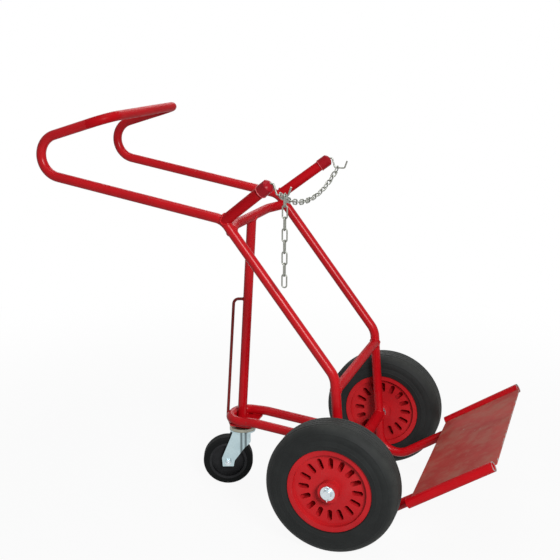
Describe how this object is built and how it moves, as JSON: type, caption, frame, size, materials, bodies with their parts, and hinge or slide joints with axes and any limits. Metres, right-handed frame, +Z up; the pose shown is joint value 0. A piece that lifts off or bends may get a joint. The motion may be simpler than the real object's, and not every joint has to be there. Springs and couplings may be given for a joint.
{
  "type": "gas cylinder trolley",
  "caption": "Reclining gas cylinder trolley of red bent tube with a sloped toe plate, looped handle, chain, large rubber-tyred wheels and a swivel caster at the rear.",
  "frame": {"origin": "on the floor below the middle of the outline, in the middle plane of the trolley", "axes": "+X towards the toe plate, +Y to the right seen from the toe plate's end (left in the names is -Y), +Z up"},
  "size_m": [1.202, 0.6848, 1.033],
  "materials": {
    "frame_red": "gloss",
    "cap_red": "gloss",
    "rim_red": "gloss",
    "zinc": "satin",
    "chain_steel": "satin",
    "tyre_black": "matte",
    "caster_rubber": "matte",
    "caster_grey": "matte",
    "bush_nylon": "matte"
  },
  "bodies": {
    "frame": {"left_rail": "frame_red", "right_rail": "frame_red", "left_handle": "frame_red", "right_handle": "frame_red", "handle_bar": "frame_red", "upper_cradle": "frame_red", "lower_crossbar": "frame_red", "rear_strut": "frame_red", "caster_loop": "frame_red", "caster_plate": "frame_red", "caster_boss": "frame_red", "hose_rod": "frame_red", "toe_plate": "frame_red", "left_toe_tube": "frame_red", "right_toe_tube": "frame_red", "left_arm": "frame_red", "right_arm": "frame_red", "left_arm_cap": "cap_red", "right_arm_cap": "cap_red", "left_chain_hook": "zinc", "right_chain_hook": "zinc", "axle_tube": "frame_red", "axle": "zinc", "axle_spacers": "zinc", "axle_washers": "zinc", "split_pins": "zinc", "caster_stem": "zinc", "caster_head": "zinc", "stem_nut": "zinc"},
    "left_wheel": {"left_tyre": "tyre_black", "left_rim": "rim_red", "left_bushes": "bush_nylon"},
    "right_wheel": {"right_tyre": "tyre_black", "right_rim": "rim_red", "right_bushes": "bush_nylon"},
    "caster_yoke": {"caster_fork": "zinc", "swivel_balls": "zinc", "caster_axle": "zinc", "caster_axle_nut": "zinc"},
    "caster_wheel": {"caster_tyre": "caster_rubber", "caster_hub": "caster_grey", "caster_bush": "bush_nylon"},
    "sling": {"chain_sling": "chain_steel"},
    "tail": {"chain_tail": "chain_steel"}
  },
  "joints": [
    {"name": "left_wheel_roll", "type": "hinge", "parent": "frame", "child": "left_wheel", "pos_m": [0.21632, -0.28, 0.165], "axis": [0, 1, 0], "continuous": true},
    {"name": "right_wheel_roll", "type": "hinge", "parent": "frame", "child": "right_wheel", "pos_m": [0.21632, 0.28, 0.165], "axis": [0, 1, 0], "continuous": true},
    {"name": "caster_swivel", "type": "hinge", "parent": "frame", "child": "caster_yoke", "pos_m": [-0.12168, 0, 0.15], "axis": [0, 0, 1], "continuous": true},
    {"name": "caster_roll", "type": "hinge", "parent": "caster_yoke", "child": "caster_wheel", "pos_m": [-0.15927, -0.01368, 0.0685], "axis": [-0.342, 0.9397, 0], "continuous": true},
    {"name": "sling_swing", "type": "hinge", "parent": "frame", "child": "sling", "pos_m": [0.06699, 0, 0.8602], "axis": [0, 1, 0], "range_deg": [-30, 30]},
    {"name": "tail_swing", "type": "hinge", "parent": "frame", "child": "tail", "pos_m": [0.07899, -0.25374, 0.8602], "axis": [1, 0, 0], "range_deg": [-60, 25]}
  ]
}
